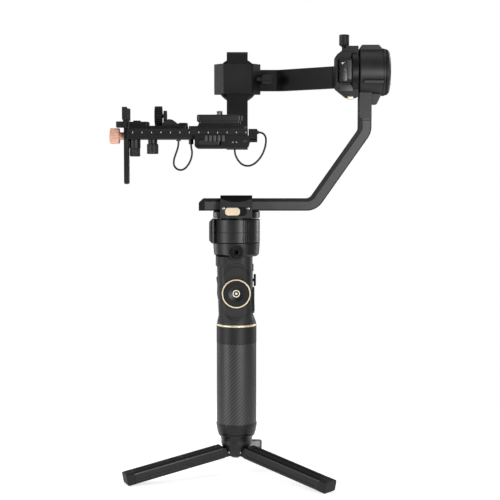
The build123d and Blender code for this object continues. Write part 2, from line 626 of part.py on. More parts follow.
def quick_release():
    """Slider plate and black receiver of the quick-release stack."""
    plate = soft_block(-50.2, 11.9, -21.0, 21.0, RAIL_Z1, 357.5, 3.0)
    seat = side_plate([(-40.8, 357.5), (-39.4, 360.2), (4.3, 360.2), (5.9, 357.5)], -22.0, 22.0)
    return plate + seat - rod_z(4.0, 350, 362, SCREW_X)


def camera_plate():
    """Camera plate: a thin lip below a rounded grey body with a thread hole."""
    lip = soft_block(-39.4, 4.9, -23.0, 23.0, 360.2, 362.9, 3.0)
    body = soft_block(-41.6, 6.5, -25.0, 25.0, 362.9, PLATE_TOP, 4.0)
    body = fillet(body.edges().group_by(Axis.Z)[-1], 1.6)
    bore = rod_z(3.25, 355, 375, SCREW_X) + rod_z(6.6, 355, 363.6, SCREW_X)
    return lip + body - bore


def camera_screw():
    """Captive camera screw: a slotted head, a thin neck through the plate and a threaded end above it."""
    head = rod_z(6.4, 360.4, 363.4, SCREW_X)
    thread = rod_z(3.17, PLATE_TOP + 0.05, PLATE_TOP + 4.85, SCREW_X)
    shank = rod_z(2.6, 363.3, PLATE_TOP + 1, SCREW_X)
    slot = block(SCREW_X - 7, SCREW_X + 7, -0.7, 0.7, 360, 361.6)
    return head + shank + thread - slot


def lens_support_base():
    """Base block on the rail that carries the lens support and the focus servo."""
    plate = soft_block(RAIL_X0, -52.4, -16.0, 16.0, RAIL_Z1, 358.0, 2.0)
    front = soft_block(RAIL_X0, -94.0, -13.0, 13.0, 358.0, 362.4, 2.0)
    cap = rod_z(4.0, 362.4, 364.0, -106.7)
    rear = soft_block(-61.0, -52.6, -12.0, 12.0, 358.0, 361.2, 1.0)
    holes = [rod_z(2.0, 350, 360, x) for x in THUMBSCREW_X]
    return plate + front + cap + rear - holes


def support_rod():
    """Slotted flat bar with a forked cradle on top that holds up the front of the lens."""
    bar = soft_block(-120.4, -115.5, -6.5, 6.5, 295.9, 377.0, 2.2, "x")
    bar &= soft_block(-120.4, -115.5, -7.0, 7.0, 295.9, 400.0, 2.0, "y")
    bar -= soft_block(-125, -110, -2.1, 2.1, 303.0, 374.0, 2.0, "x")
    fork = soft_block(-121.0, -115.5, -19.0, 19.0, 364.4, 379.6, 2.0, "x") - rod_x(36.0, -130, -100, 0, 408.4)
    step = block(-128.5, -120.9, -7.0, 7.0, 356.6, 362.9)
    web = soft_block(-121.0, -115.5, -9.5, 9.5, 356.0, 368.0, 2.0, "x")
    hole = block(-125, -110, -2.1, 2.1, 303.0, 350.0)
    return bar + fork + step + web - hole


def rod_knob():
    """Copper locking knob of the lens support; its screw passes the bar's slot into the rail."""
    head = Pos(-135.6, 0, 347.5) * Rot(0, 90, 0) * knurled(8.4, 10.2, 30, 0.35)
    stub = rod_x(4.05, -125.5, -120.7, 0, 347.5)
    screw = rod_x(1.95, -120.8, RAIL_X0 + 3.2, 0, 347.5)
    return head + stub + screw


def thumbscrew(x, collar_r, collar_low, knob_r, knob_low):
    """Knurled screw under the rail that pulls the support base down through the slot."""
    collar = rod_z(collar_r, collar_low, RAIL_Z0 - 0.1, x)
    grip = Pos(x, 0, knob_low) * knurled(knob_r, collar_low - knob_low + 0.1, 18, 0.45)
    return collar + grip + rod_z(1.95, RAIL_Z0 - 0.2, 357.9, x)


def focus_servo():
    """Servo under the lens: an arched body and a tab that carries the output gear."""
    arch = rod_y(8.1, -11.0, 30.0, -71.3, 357.0) & block(-90, -50, -40, 40, 358.0, 370)
    case = soft_block(-79.4, -61.2, -11.0, 30.0, 358.0, 360.6, 1.0)
    tab = soft_block(-78.0, -74.6, -6.0, 6.0, 358.0, 374.6, 5.0, "x")
    tab += block(-78.0, -74.6, -6.0, 6.0, 358.0, 364.0)
    return arch + case + tab - rod_x(2.06, -80, -73, 0, GEAR_Z)


def focus_gear():
    """Follow-focus gear with plain trapezoid teeth on a short axle."""
    root_r = GEAR_R - 1.7
    disc = rod_x(root_r, GEAR_X0, GEAR_X1, 0, GEAR_Z)
    tooth = [(-0.85, root_r - 0.3), (0.85, root_r - 0.3), (0.4, GEAR_R), (-0.4, GEAR_R)]
    face = make_face(Polyline([Vector(0, y, z) for y, z in tooth], close=True))
    prism = Pos(GEAR_X1, 0, 0) * extrude(face, GEAR_X1 - GEAR_X0, dir=(-1, 0, 0))
    teeth = [Pos(0, 0, GEAR_Z) * Rot(360 * i / GEAR_TEETH, 0, 0) * prism for i in range(GEAR_TEETH)]
    return disc + teeth + rod_x(2.0, GEAR_X1 - 0.1, -74.8, 0, GEAR_Z)


# ---------------------------------------------------------------- cables
def cord_radii(points):
    """Arc radius at each inner point: 0.45 of the shorter run over the tangent of half the turn."""
    radii = []
    for before, here, after in zip(points, points[1:], points[2:]):
        first = Vector(*here) - Vector(*before)
        second = Vector(*after) - Vector(*here)
        turn = first.get_angle(second)
        radii.append(0.45 * min(first.length, second.length) / tan(radians(turn) / 2))
    return radii


def cord(name, points):
    """Round cable along straight runs joined by tangent arcs."""
    radii = cord_radii(points)
    path = FilletPolyline(*[Vector(*p) for p in points], radius=radii)
    start = Plane(origin=points[0], z_dir=path % 0)
    tube = sweep(start * Circle(CORD_D / 2), path=path)
    section = pi * (CORD_D / 2) ** 2
    print(name, "radii", [round(r, 1) for r in radii], "length", round(path.length, 1),
          "volume ratio", round(tube.volume / (section * path.length), 4))
    return tube


# ---------------------------------------------------------------- build
save("tripod_hub", tripod_hub())
save("leg_hinge_pins", hinge_pins())
for side_name, side_azimuth in LEG_AZIMUTHS.items():
    save(f"leg_{side_name}", leg(side_azimuth))
    save(f"foot_{side_name}", foot(side_azimuth))
save("handle_end_cap", handle_end_cap())
save("handle_tube", handle_tube())
save("grip_sleeve", grip_sleeve())
save("battery_cells", battery_cells())
save("gold_ring", gold_ring())
save("control_housing", control_housing())
save("rear_panel", rear_panel())
save("control_wheel", control_wheel())
save("wheel_ring", wheel_ring())
save("joystick_yoke", joystick_yoke())
save("joystick_cap", joystick_cap())
save("trigger", trigger())
save("power_button", power_button())
save("accessory_socket", accessory_socket())
save("pan_housing", pan_housing())
save("pan_stator", PAN_AT * motor_stator(PAN_DEPTH))
save("pan_rotor", PAN_AT * motor_rotor(PAN_DEPTH))
save("pan_clamp", pan_clamp())
save("pan_latch", pan_latch())
save("pan_clamp_knob", PAN_AT * Rot(0, 0, 180) * clamp_knob())
save("yaw_arm", yaw_arm())
save("yaw_arm_cover", yaw_arm_cover())
save("roll_housing", roll_housing())
save("roll_end_cap", ROLL_AT * domed_cap())
save("roll_stator", ROLL_AT * motor_stator(SIDE_DEPTH))
save("roll_rotor", ROLL_AT * motor_rotor(SIDE_DEPTH))
save("roll_clamp", roll_clamp())
save("roll_knob", ROLL_AT * clamp_knob())
save("roll_latch", roll_latch())
save("roll_arm", roll_arm())
save("tilt_housing", tilt_housing())
save("tilt_end_cap", TILT_AT * domed_cap())
save("tilt_stator", TILT_AT * motor_stator(SIDE_DEPTH))
save("tilt_rotor", TILT_AT * motor_rotor(SIDE_DEPTH))
save("tilt_clamp", TILT_AT * arm_clamp() - TILT_AT * clamp_screw_hole(-1))
save("tilt_knob", TILT_AT * clamp_knob())
save("tilt_arm", tilt_arm())
save("rail_clamp", rail_clamp())
save("clamp_lever", clamp_lever())
save("camera_rail", camera_rail())
save("quick_release", quick_release())
save("camera_plate", camera_plate())
save("camera_screw", camera_screw())
save("lens_support_base", lens_support_base())
save("support_rod", support_rod())
save("rod_knob", rod_knob())
save("thumbscrew_front", thumbscrew(THUMBSCREW_X[0], 6.0, 334.3, 5.6, 325.6))
save("thumbscrew_rear", thumbscrew(THUMBSCREW_X[1], 5.0, 339.0, 6.2, 328.3))
save("focus_servo", focus_servo())
save("focus_gear", focus_gear())
save("servo_cable", cord("servo_cable", SERVO_CORD))
save("port_cable", cord("port_cable", PORT_CORD))
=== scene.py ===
"""Looks of the three-axis camera gimbal: procedural materials, small fittings, cables, studio and camera."""
from math import atan2, cos, hypot, pi, radians, sin

import bmesh
import bpy
from mathutils import Matrix, Vector


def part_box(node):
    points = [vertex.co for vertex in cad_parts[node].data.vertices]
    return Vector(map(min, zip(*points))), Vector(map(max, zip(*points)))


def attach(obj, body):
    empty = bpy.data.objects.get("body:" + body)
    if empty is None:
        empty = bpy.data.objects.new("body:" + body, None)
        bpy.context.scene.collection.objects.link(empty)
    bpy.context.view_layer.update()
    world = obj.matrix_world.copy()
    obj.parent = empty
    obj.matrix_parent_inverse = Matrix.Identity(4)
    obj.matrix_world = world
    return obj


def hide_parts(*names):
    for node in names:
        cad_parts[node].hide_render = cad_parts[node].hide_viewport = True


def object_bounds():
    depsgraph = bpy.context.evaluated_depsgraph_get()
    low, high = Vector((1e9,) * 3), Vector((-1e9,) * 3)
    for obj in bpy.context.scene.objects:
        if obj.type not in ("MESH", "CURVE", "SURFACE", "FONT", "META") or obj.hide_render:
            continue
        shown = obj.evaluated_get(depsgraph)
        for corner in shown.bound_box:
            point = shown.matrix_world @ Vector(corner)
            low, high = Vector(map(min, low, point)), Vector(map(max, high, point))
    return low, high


MM = 0.001
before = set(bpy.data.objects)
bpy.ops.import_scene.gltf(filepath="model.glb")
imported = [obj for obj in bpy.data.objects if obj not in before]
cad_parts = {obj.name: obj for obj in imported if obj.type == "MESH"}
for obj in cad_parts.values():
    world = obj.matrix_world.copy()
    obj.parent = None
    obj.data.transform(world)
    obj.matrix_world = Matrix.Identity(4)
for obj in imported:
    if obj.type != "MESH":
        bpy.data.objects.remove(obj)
start_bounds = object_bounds()


# ---------------------------------------------------------------- camera, world and stage
VIEW_HEIGHT = 0.305
VIEW_SIDE = 0.0146
VIEW_DISTANCE = 1.35
PICTURE_WIDTH = 0.54
PICTURE_CENTRE = 0.2249
SENSOR = 36.0
WORLD_FILL = 0.14
FLOOR_GLOW = 0.6
FLOOR_HALF = 0.6
FLOOR_FADE = (0.24, 0.55)
LIGHT_TARGET = (0.0, 0.0, 0.22)
LIGHTS = {
    "key_right": ((0.52, -1.12, 0.26), 0.30, 0.42, 10.0),
    "key_left": ((-1.05, -0.62, 0.24), 0.30, 0.85, 8.0),
    "top": ((0.0, -0.1, 1.5), 0.8, 0.8, 3.0),
    "rim_right": ((1.0, 0.8, 0.5), 0.4, 1.0, 7.0),
    "rim_left": ((-1.0, 0.8, 0.5), 0.4, 1.0, 7.0),
}


def add_camera():
    """Camera on the wheel's side, a little above the picture's centre and tipped down to it."""
    drop = VIEW_HEIGHT - PICTURE_CENTRE
    data = bpy.data.cameras.new("camera")
    data.sensor_width = SENSOR
    data.lens = SENSOR * hypot(VIEW_DISTANCE, drop) / PICTURE_WIDTH
    camera = bpy.data.objects.new("camera", data)
    camera.location = (VIEW_SIDE, -VIEW_DISTANCE, VIEW_HEIGHT)
    camera.rotation_euler = (pi / 2 - atan2(drop, VIEW_DISTANCE), 0, 0)
    bpy.context.scene.collection.objects.link(camera)
    bpy.context.scene.camera = camera


def add_area_light(name, place, width, height, power):
    """Soft box aimed at the object."""
    data = bpy.data.lights.new(name, "AREA")
    data.shape = "RECTANGLE"
    data.size = width
    data.size_y = height
    data.energy = power
    light = bpy.data.objects.new(name, data)
    light.location = place
    light.rotation_euler = (Vector(LIGHT_TARGET) - Vector(place)).to_track_quat("-Z", "Y").to_euler()
    light.visible_camera = False
    bpy.context.scene.collection.objects.link(light)


def floor_paper():
    """White paper that melts into the white world away from the object."""
    f = Finish("floor_paper")
    x, y, _ = f.axes()
    reach = f.math("SQRT", f.math("ADD", f.math("MULTIPLY", x, x), f.math("MULTIPLY", y, y)))
    f.set(f.blend(f.noise(40.0), grey(0.92), grey(0.95)), 0.85)
    f.shader.inputs["Emission Color"].default_value = (1, 1, 1, 1)
    f.shader.inputs["Emission Strength"].default_value = FLOOR_GLOW
    clear = f.node("ShaderNodeBsdfTransparent")
    mix = f.node("ShaderNodeMixShader")
    f.feed(mix.inputs[0], f.spread(reach, 0.0, 1.0, *FLOOR_FADE))
    f.tree.links.new(f.shader.outputs[0], mix.inputs[1])
    f.tree.links.new(clear.outputs[0], mix.inputs[2])
    f.tree.links.new(mix.outputs[0], f.tree.nodes["Material Output"].inputs[0])
    return f.material


def add_studio():
    """Pale floor in a white world, lit by soft boxes on both sides, above and behind."""
    ground = start_bounds[0][2]
    half = FLOOR_HALF
    corners = [(-half, -half, ground), (half, -half, ground), (half, half, ground), (-half, half, ground)]
    mesh = bpy.data.meshes.new("floor")
    mesh.from_pydata(corners, [], [(0, 1, 2, 3)])
    floor = bpy.data.objects.new("floor", mesh)
    bpy.context.scene.collection.objects.link(floor)
    mesh.materials.append(floor_paper())
    world = bpy.data.worlds.new("studio")
    world.use_nodes = True
    tree = world.node_tree
    background = tree.nodes["Background"]
    background.inputs["Color"].default_value = (1, 1, 1, 1)
    path = tree.nodes.new("ShaderNodeLightPath")
    level = tree.nodes.new("ShaderNodeMapRange")
    level.inputs["To Min"].default_value = WORLD_FILL
    level.inputs["To Max"].default_value = 1.0
    tree.links.new(path.outputs["Is Camera Ray"], level.inputs["Value"])
    tree.links.new(level.outputs[0], background.inputs["Strength"])
    bpy.context.scene.world = world
    for name, settings in LIGHTS.items():
        add_area_light(name, *settings)
    bpy.context.scene.view_settings.view_transform = "Standard"


# ---------------------------------------------------------------- cables
CABLE_WIDTH = 2.1 * MM
SERVO_CORD = [(-62.0, -4.0, 342.0), (-62.0, -4.0, 338.0), (-63.2, -4.1, 333.0), (-65.3, -4.3, 327.4),
              (-66.8, -4.3, 323.0), (-67.2, -4.4, 319.3), (-66.9, -4.4, 315.9), (-64.9, -4.5, 312.9),
              (-61.7, -4.6, 311.1), (-58.0, -4.8, 311.1), (-54.7, -5.0, 312.9), (-51.8, -5.2, 316.3),
              (-49.3, -5.4, 320.7), (-47.7, -5.6, 325.8), (-47.3, -5.8, 330.8), (-48.4, -6.0, 335.0),
              (-48.4, -6.0, 338.5)]
PORT_CORD = [(22.4, 0.0, 351.5), (26.0, 0.0, 351.5), (29.2, -0.3, 350.0), (31.2, -0.6, 347.1),
             (31.9, -0.9, 343.6), (31.5, -1.3, 338.4), (29.8, -1.9, 332.0), (26.8, -2.6, 325.8),
             (22.4, -3.3, 320.2), (17.0, -3.9, 316.3), (11.4, -4.5, 315.2), (6.0, -5.0, 316.9),
             (1.7, -5.6, 321.4), (-1.0, -6.2, 326.8), (-1.8, -6.5, 331.0), (-1.8, -6.5, 334.3)]


def add_cable(name, node, body, points):
    """Round cable along its route, riding on one body at both ends."""
    data = bpy.data.curves.new(name, "CURVE")
    data.dimensions = "3D"
    data.bevel_depth = CABLE_WIDTH / 2
    data.bevel_resolution = 5
    data.resolution_u = 10
    data.use_fill_caps = True
    line = data.splines.new("NURBS")
    line.points.add(len(points) - 1)
    for spot, (x, y, z) in zip(line.points, points):
        spot.co = (x * MM, y * MM, z * MM, 1)
    line.order_u = 3
    line.use_endpoint_u = True
    cable = bpy.data.objects.new(name, data)
    bpy.context.scene.collection.objects.link(cable)
    data.materials.append(cable_rubber())
    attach(cable, body)
    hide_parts(node)


# ---------------------------------------------------------------- material kit
class Finish:
    """One material's node tree, with short calls for the nodes that it is made of."""

    def __init__(self, name):
        self.material = bpy.data.materials.new(name)
        self.material.use_nodes = True
        self.tree = self.material.node_tree
        self.shader = self.tree.nodes["Principled BSDF"]
        self.place = self.node("ShaderNodeTexCoord").outputs["Object"]

    def node(self, kind, **settings):
        made = self.tree.nodes.new(kind)
        for key, value in settings.items():
            setattr(made, key, value)
        return made

    def feed(self, socket, value):
        """Links a socket, or sets its constant value."""
        if isinstance(value, bpy.types.NodeSocket):
            self.tree.links.new(value, socket)
        else:
            socket.default_value = value

    def math(self, operation, first, second=0.0):
        made = self.node("ShaderNodeMath", operation=operation)
        self.feed(made.inputs[0], first)
        self.feed(made.inputs[1], second)
        return made.outputs[0]

    def spread(self, value, low, high, from_low=0.0, from_high=1.0):
        """Maps a value from one range to another, clamped."""
        made = self.node("ShaderNodeMapRange")
        for socket, part in zip(made.inputs, (value, from_low, from_high, low, high)):
            self.feed(socket, part)
        return made.outputs[0]

    def blend(self, share, first, second):
        """Mixes two colours."""
        made = self.node("ShaderNodeMix", data_type="RGBA")
        self.feed(made.inputs["Factor"], share)
        self.feed(made.inputs["A"], first)
        self.feed(made.inputs["B"], second)
        return made.outputs["Result"]

    def stretch(self, scale):
        """Object coordinates, scaled differently along each axis."""
        made = self.node("ShaderNodeVectorMath", operation="MULTIPLY")
        self.feed(made.inputs[0], self.place)
        made.inputs[1].default_value = scale
        return made.outputs[0]

    def noise(self, scale, detail=3.0, vector=None):
        made = self.node("ShaderNodeTexNoise")
        self.feed(made.inputs["Vector"], vector or self.place)
        made.inputs["Scale"].default_value = scale
        made.inputs["Detail"].default_value = detail
        return made.outputs["Fac"]

    def cells(self, scale, vector=None):
        made = self.node("ShaderNodeTexVoronoi")
        self.feed(made.inputs["Vector"], vector or self.place)
        made.inputs["Scale"].default_value = scale
        return made.outputs["Distance"]

    def axes(self):
        made = self.node("ShaderNodeSeparateXYZ")
        self.feed(made.inputs[0], self.place)
        return made.outputs

    def bump(self, height, strength, distance):
        """Raises the surface by a height, after any bump made before it."""
        made = self.node("ShaderNodeBump")
        made.inputs["Strength"].default_value = strength
        made.inputs["Distance"].default_value = distance
        self.feed(made.inputs["Height"], height)
        before = self.shader.inputs["Normal"]
        if before.is_linked:
            self.tree.links.new(before.links[0].from_socket, made.inputs["Normal"])
        self.feed(before, made.outputs["Normal"])

    def round_edges(self, radius):
        """Softens sharp edges in the shading, as a real chamfer does."""
        made = self.node("ShaderNodeBevel", samples=4)
        made.inputs["Radius"].default_value = radius
        self.feed(self.shader.inputs["Normal"], made.outputs["Normal"])

    def edge_share(self, radius):
        """One on sharp edges, falling to nought on open faces."""
        rounded = self.node("ShaderNodeBevel", samples=4)
        rounded.inputs["Radius"].default_value = radius
        plain = self.node("ShaderNodeNewGeometry")
        compare = self.node("ShaderNodeVectorMath", operation="DOT_PRODUCT")
        self.feed(compare.inputs[0], rounded.outputs["Normal"])
        self.feed(compare.inputs[1], plain.outputs["Normal"])
        return self.spread(compare.outputs["Value"], 1.0, 0.0, 0.72, 0.98)

    def painted_crevice_shade(self, colour, dark, reach):
        """Painted shade: darkens a colour where neighbouring surfaces close in on it, as ambient occlusion
        does.
        """
        shade = self.node("ShaderNodeAmbientOcclusion", samples=6)
        shade.inputs["Distance"].default_value = reach
        return self.blend(self.spread(shade.outputs["AO"], 1.0, 0.0, 0.3, 0.85), colour, dark)

    def groove(self, coordinate, place, width):
        """One inside a thin line at a place along a coordinate, nought outside."""
        away = self.math("ABSOLUTE", self.math("SUBTRACT", coordinate, place))
        return self.spread(away, 1.0, 0.0, width * 0.3, width * 0.5)

    def inside(self, coordinate, low, high):
        """One between two places along a coordinate, nought outside."""
        above = self.math("GREATER_THAN", coordinate, low)
        return self.math("MULTIPLY", above, self.math("LESS_THAN", coordinate, high))

    def set(self, colour, roughness, metallic=0.0, coat=0.0, specular=0.5):
        self.feed(self.shader.inputs["Base Color"], colour)
        self.feed(self.shader.inputs["Roughness"], roughness)
        self.feed(self.shader.inputs["Metallic"], metallic)
        self.feed(self.shader.inputs["Coat Weight"], coat)
        self.shader.inputs["Coat Roughness"].default_value = 0.18
        self.shader.inputs["Specular IOR Level"].default_value = specular
        return self.material


def grey(level, tint=0.0):
    """Near-neutral colour, a little cooler with more tint."""
    return (level, level * (1 + 0.3 * tint), level * (1 + tint), 1)


def anodised(name, level, rough=0.34, metallic=0.5, seams=(), specular=0.5):
    """Bead-blasted anodised aluminium: fine grain, cloudy sheen, paler worn edges and fine seams."""
    f = Finish(name)
    f.round_edges(0.45 * MM)
    cloud = f.noise(28.0, 4.0)
    speck = f.noise(2600.0, 2.0)
    base = f.blend(f.spread(cloud, 0, 1, 0.35, 0.65), grey(level * 0.85, 0.03), grey(level * 1.15, 0.03))
    worn = f.math("MULTIPLY", f.edge_share(0.35 * MM), f.spread(f.noise(160.0), 0, 1, 0.3, 0.75))
    colour = f.blend(f.math("MULTIPLY", worn, 0.6), base, grey(level * 2.6 + 0.03))
    # painted shade: darker where neighbouring surfaces close in
    colour = f.painted_crevice_shade(colour, grey(level * 0.2), 3.0 * MM)
    for axis, place in seams:
        line = f.groove(f.axes()[axis], place, 0.7 * MM)
        colour = f.blend(f.math("MULTIPLY", line, 0.8), colour, grey(0.004))
        f.bump(f.math("SUBTRACT", 1.0, line), 0.5, 0.2 * MM)
    haze = f.spread(cloud, rough - 0.06, rough + 0.06, 0.3, 0.7)
    rough_map = f.math("ADD", haze, f.math("MULTIPLY", speck, 0.05))
    f.bump(speck, 0.16, 0.05 * MM)
    return f.set(colour, rough_map, metallic, specular=specular)


def brushed(name, level, rough=0.32):
    """Extruded aluminium with lines drawn along X."""
    f = Finish(name)
    f.round_edges(0.4 * MM)
    lines = f.noise(900.0, 3.0, f.stretch((0.02, 1, 1)))
    base = f.blend(lines, grey(level * 0.75, 0.02), grey(level * 1.25, 0.02))
    worn = f.math("MULTIPLY", f.edge_share(0.3 * MM), f.spread(f.noise(120.0), 0.2, 1, 0.3, 0.7))
    colour = f.blend(f.math("MULTIPLY", worn, 0.7), base, grey(0.22))
    f.bump(lines, 0.2, 0.06 * MM)
    return f.set(colour, f.spread(lines, rough - 0.06, rough + 0.1), 0.65)


DISH_RADIUS = 15.5 * MM
DISH_STRAIGHT = 14.0 * MM
DISH_FRONT = -12.0 * MM


def dish_shade(f):
    """Painted shadow: one under the rim at both ends of the wheel's stadium-shaped dish, nought elsewhere.
    """
    x, y, z = f.axes()
    wheel = sum(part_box("control_wheel"), Vector())[2] / 2
    away = f.math("ABSOLUTE", f.math("SUBTRACT", z, wheel))
    past = f.math("MAXIMUM", f.math("SUBTRACT", away, DISH_STRAIGHT), 0.0)
    reach = f.math("SQRT", f.math("ADD", f.math("MULTIPLY", x, x), f.math("MULTIPLY", past, past)))
    near_rim = f.spread(reach, 0.0, 0.85, DISH_RADIUS - 3.4 * MM, DISH_RADIUS - 0.3 * MM)
    shade = f.math("MULTIPLY", near_rim, f.math("LESS_THAN", reach, DISH_RADIUS))
    shade = f.math("MULTIPLY", shade, f.spread(past, 0.0, 1.0, 2.0 * MM, 9.0 * MM))
    return f.math("MULTIPLY", shade, f.math("LESS_THAN", y, DISH_FRONT))


def moulded(name, level, rough=0.5, stipple=1500.0, strength=0.28, specular=0.35, dish_shadow=False):
    """Moulded plastic with a fine stipple, a faint handling sheen and, if asked, painted shadow under the
    rim of the wheel's dish.
    """
    f = Finish(name)
    f.round_edges(0.5 * MM)
    pits = f.cells(stipple)
    cloud = f.noise(22.0, 5.0)
    base = f.blend(f.spread(cloud, 0, 1, 0.35, 0.65), grey(level * 0.88, 0.04), grey(level * 1.12, 0.04))
    worn = f.math("MULTIPLY", f.edge_share(0.4 * MM), f.spread(f.noise(90.0), 0, 1, 0.4, 0.8))
    colour = f.blend(f.math("MULTIPLY", worn, 0.35), base, grey(level * 2.2 + 0.01))
    # painted shade: darker where neighbouring surfaces close in
    colour = f.painted_crevice_shade(colour, grey(level * 0.15), 4.5 * MM)
    if dish_shadow:
        # painted shadow under the rim of the wheel's dish
        colour = f.blend(dish_shade(f), colour, grey(level * 0.1))
    f.bump(pits, strength, 0.08 * MM)
    return f.set(colour, f.spread(cloud, rough - 0.07, rough + 0.07, 0.3, 0.7), specular=specular)


def polished(name, colour, rough, metallic=1.0):
    """Bright turned metal with hairline scratches."""
    f = Finish(name)
    f.round_edges(0.3 * MM)
    hairs = f.noise(1400.0, 4.0, f.stretch((1, 1, 0.06)))
    cloud = f.noise(60.0, 3.0)
    deep = tuple(c * 0.82 for c in colour[:3]) + (1,)
    shade = f.blend(f.spread(cloud, 0, 1, 0.3, 0.7), deep, colour)
    f.bump(hairs, 0.08, 0.03 * MM)
    return f.set(shade, f.spread(hairs, rough - 0.05, rough + 0.12), metallic)


def gloss_black(name, level=0.008):
    """Polished black plastic with faint smears."""
    f = Finish(name)
    f.round_edges(0.35 * MM)
    smear = f.noise(45.0, 5.0, f.stretch((1, 1, 0.35)))
    fine = f.noise(1800.0, 2.0)
    colour = f.blend(smear, grey(level), grey(level * 1.7, 0.05))
    f.bump(fine, 0.03, 0.02 * MM)
    return f.set(colour, f.spread(smear, 0.12, 0.3, 0.35, 0.7), 0.0, 0.4)


TWILL_CELLS = 124


def twill_rubber():
    """Grip covering with a two-and-two twill weave that climbs to the right round the handle."""
    f = Finish("grip_twill")
    low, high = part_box("grip_sleeve")
    radius = (high[0] - low[0]) / 2
    cell = 2 * pi * radius / TWILL_CELLS
    x, y, z = f.axes()
    across = f.math("MULTIPLY", f.math("ARCTAN2", y, x), radius / cell)
    along = f.math("DIVIDE", z, cell)
    step = f.math("SUBTRACT", f.math("FLOOR", along), f.math("FLOOR", across))
    upright = f.math("LESS_THAN", f.math("FLOORED_MODULO", step, 4.0), 1.5)
    bow_across = f.math("ABSOLUTE", f.math("SUBTRACT", f.math("FRACT", across), 0.5))
    bow_along = f.math("ABSOLUTE", f.math("SUBTRACT", f.math("FRACT", along), 0.5))
    round_up = f.math("SUBTRACT", 1.0, f.math("MULTIPLY", bow_across, 1.4))
    round_over = f.math("SUBTRACT", 1.0, f.math("MULTIPLY", bow_along, 1.4))
    height = f.math("ADD", f.math("MULTIPLY", round_up, upright),
                    f.math("MULTIPLY", round_over, f.math("SUBTRACT", 1.0, upright)))
    cloud = f.noise(30.0, 4.0)
    grain = f.noise(3000.0, 2.0)
    threads = f.blend(upright, grey(0.017, 0.05), grey(0.044, 0.05))
    colour = f.blend(f.spread(cloud, 0, 0.35, 0.35, 0.65), threads, grey(0.028, 0.05))
    # painted shade: darker where neighbouring surfaces close in
    colour = f.painted_crevice_shade(colour, grey(0.006), 2.0 * MM)
    f.bump(height, 0.4, 0.14 * MM)
    f.bump(grain, 0.15, 0.04 * MM)
    rough = f.math("ADD", f.spread(upright, 0.46, 0.32), f.math("MULTIPLY", grain, 0.08))
    return f.set(colour, rough, 0.25)


def matt_rubber():
    """Matt rubber of the feet and the thumb stick."""
    f = Finish("matt_rubber")
    f.round_edges(0.7 * MM)
    grain = f.noise(1200.0, 4.0)
    dust = f.noise(70.0, 5.0)
    colour = f.blend(f.spread(dust, 0, 0.6, 0.5, 0.8), grey(0.008), grey(0.026))
    f.bump(grain, 0.3, 0.08 * MM)
    return f.set(colour, f.spread(dust, 0.6, 0.8), specular=0.3)


def cable_rubber():
    """Smooth cable jacket with a faint fine grain."""
    f = Finish("cable_jacket")
    grain = f.noise(900.0, 3.0)
    colour = f.blend(grain, grey(0.004), grey(0.009))
    f.bump(grain, 0.12, 0.05 * MM)
    return f.set(colour, f.spread(grain, 0.45, 0.6))


def knurled_metal(name, colour, ribs, rough):
    """Anodised knob whose rim, turned about X, is cut with a diamond knurl, with painted shade in the
    knurl's grooves.
    """
    f = Finish(name)
    f.round_edges(0.3 * MM)
    x, y, z = f.axes()
    low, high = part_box("rod_knob")
    centre = (low[2] + high[2]) / 2
    turn = f.math("MULTIPLY", f.math("ARCTAN2", y, f.math("SUBTRACT", z, centre)), ribs)
    climb = f.math("MULTIPLY", x, 4200.0)
    one = f.math("SINE", f.math("ADD", turn, climb))
    two = f.math("SINE", f.math("SUBTRACT", turn, climb))
    diamond = f.math("MULTIPLY", one, two)
    cloud = f.noise(80.0, 3.0)
    deep = tuple(c * 0.72 for c in colour[:3]) + (1,)
    # painted shade: the colour darkens in the knurl's grooves
    shade = f.blend(f.spread(diamond, 0.75, 0.0, -1, 0.2), colour, deep)
    f.bump(diamond, 0.08, 0.08 * MM)
    return f.set(shade, f.spread(cloud, rough - 0.04, rough + 0.08), 0.5)


def saddle_finish():
    """Pan clamp: grey anodised cheeks, a black top with a curved edge, and painted shade in the latch slot.
    """
    f = Finish("pan_saddle")
    f.round_edges(0.45 * MM)
    x, y, z = f.axes()
    low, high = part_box("pan_clamp")
    half = (high[0] - low[0]) / 2
    along = f.math("DIVIDE", f.math("SUBTRACT", x, (low[0] + high[0]) / 2), half)
    rise = f.math("MULTIPLY", f.math("MULTIPLY", along, along), 3.8 * MM)
    top = f.math("GREATER_THAN", z, f.math("ADD", high[2] - 6.6 * MM, rise))
    sunk = f.math("GREATER_THAN", y, low[1] + 0.25 * MM)
    latch_low, latch_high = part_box("pan_latch")
    # Painted shade: faces set back in the slot beside the latch are painted near-black.
    painted_slot_shade = f.math("MULTIPLY", f.inside(z, latch_low[2] - 0.8 * MM, latch_high[2] + 0.8 * MM), sunk)
    painted_slot_shade = f.math("MULTIPLY", painted_slot_shade, f.inside(x, latch_low[0] - 0.9 * MM, latch_high[0] + 7.6 * MM))
    painted_slot_shade = f.math("MULTIPLY", painted_slot_shade, f.math("LESS_THAN", y, low[1] + 2.0 * MM))
    # the black top is the clamp's own colour; the slot part is painted shade
    black_top_and_slot_shade = f.math("MAXIMUM", top, painted_slot_shade)
    grain = f.noise(2600.0, 2.0)
    cloud = f.noise(28.0, 4.0)
    cheek = f.blend(f.spread(cloud, 0, 1, 0.35, 0.65), grey(0.034, 0.03), grey(0.055, 0.03))
    f.bump(grain, 0.14, 0.05 * MM)
    metal = f.math("MULTIPLY", f.math("SUBTRACT", 1.0, black_top_and_slot_shade), 0.45)
    return f.set(f.blend(black_top_and_slot_shade, cheek, grey(0.001)), f.spread(top, 0.4, 0.6), metal, specular=0.2)


THREAD_PITCH = 1.27 * MM


